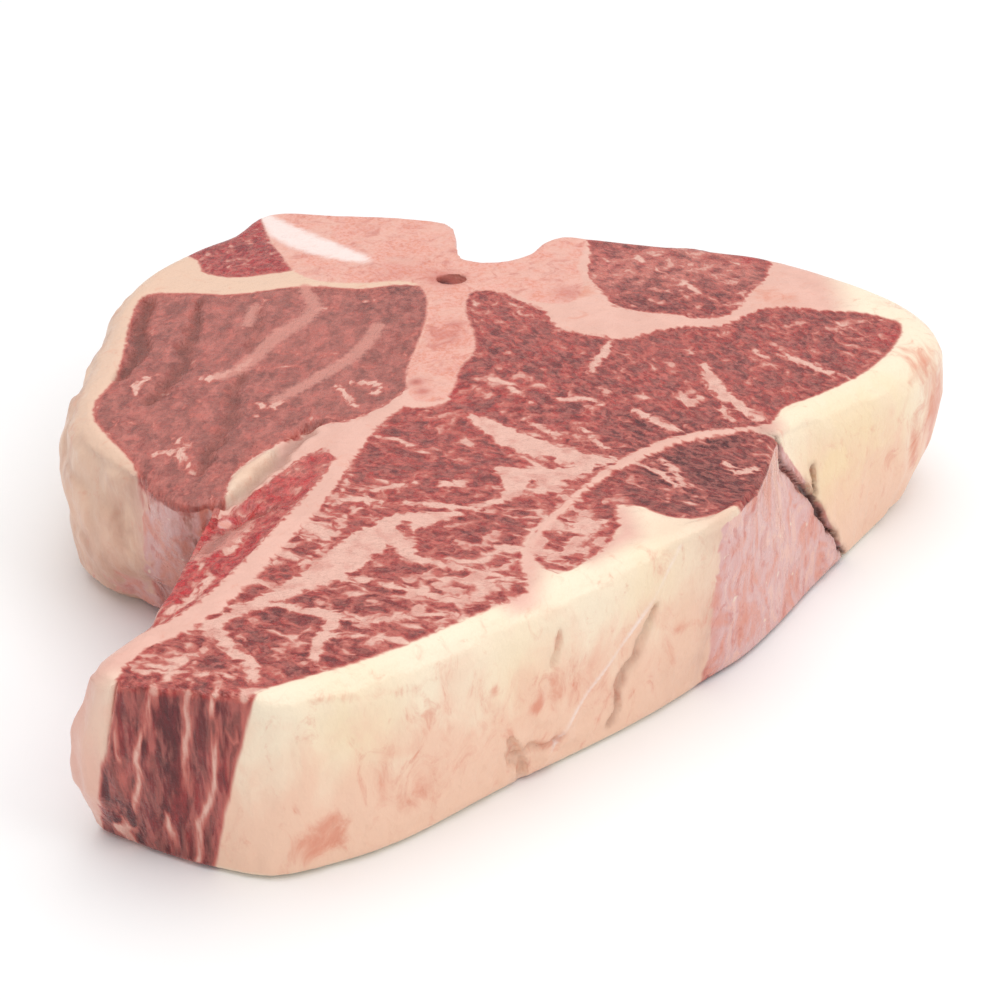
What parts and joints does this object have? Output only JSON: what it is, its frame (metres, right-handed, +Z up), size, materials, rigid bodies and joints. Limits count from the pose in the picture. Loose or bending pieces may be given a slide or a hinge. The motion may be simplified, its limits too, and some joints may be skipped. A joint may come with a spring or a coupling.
{
  "type": "raw porterhouse steak",
  "caption": "Raw marbled bone-in porterhouse steak with a T-shaped bone, strip loin and tenderloin, a fat cap and fat seams, lying on its lower cut face.",
  "frame": {"origin": "middle of the bounding box, on the lower cut face the steak rests on", "axes": "+Z up through the thickness; +Y towards the backbone end of the T-shaped bone; +X towards the wide end of the strip loin, with the tenderloin at -X"},
  "size_m": [0.186, 0.1926, 0.038],
  "materials": {
    "lean": "moist raw meat, marbled",
    "fillet_lean": "moist raw meat, duller",
    "tail_lean": "wet raw meat",
    "cap_fat": "firm cream-coloured fat",
    "seam_fat": "soft pink fat",
    "bone": "sawn raw bone"
  },
  "bodies": {
    "root": {"t_bone": "bone", "tenderloin": "fillet_lean", "strip_loin": "lean", "rump_muscle": "lean", "tail_muscle": "tail_lean", "back_muscle": "lean", "chine_muscle": "tail_lean", "loin_end_fat": "cap_fat", "fillet_fat": "cap_fat", "back_seam_fat": "seam_fat", "tail_seam_fat": "seam_fat", "cap_fat": "cap_fat"}
  },
  "joints": []
}
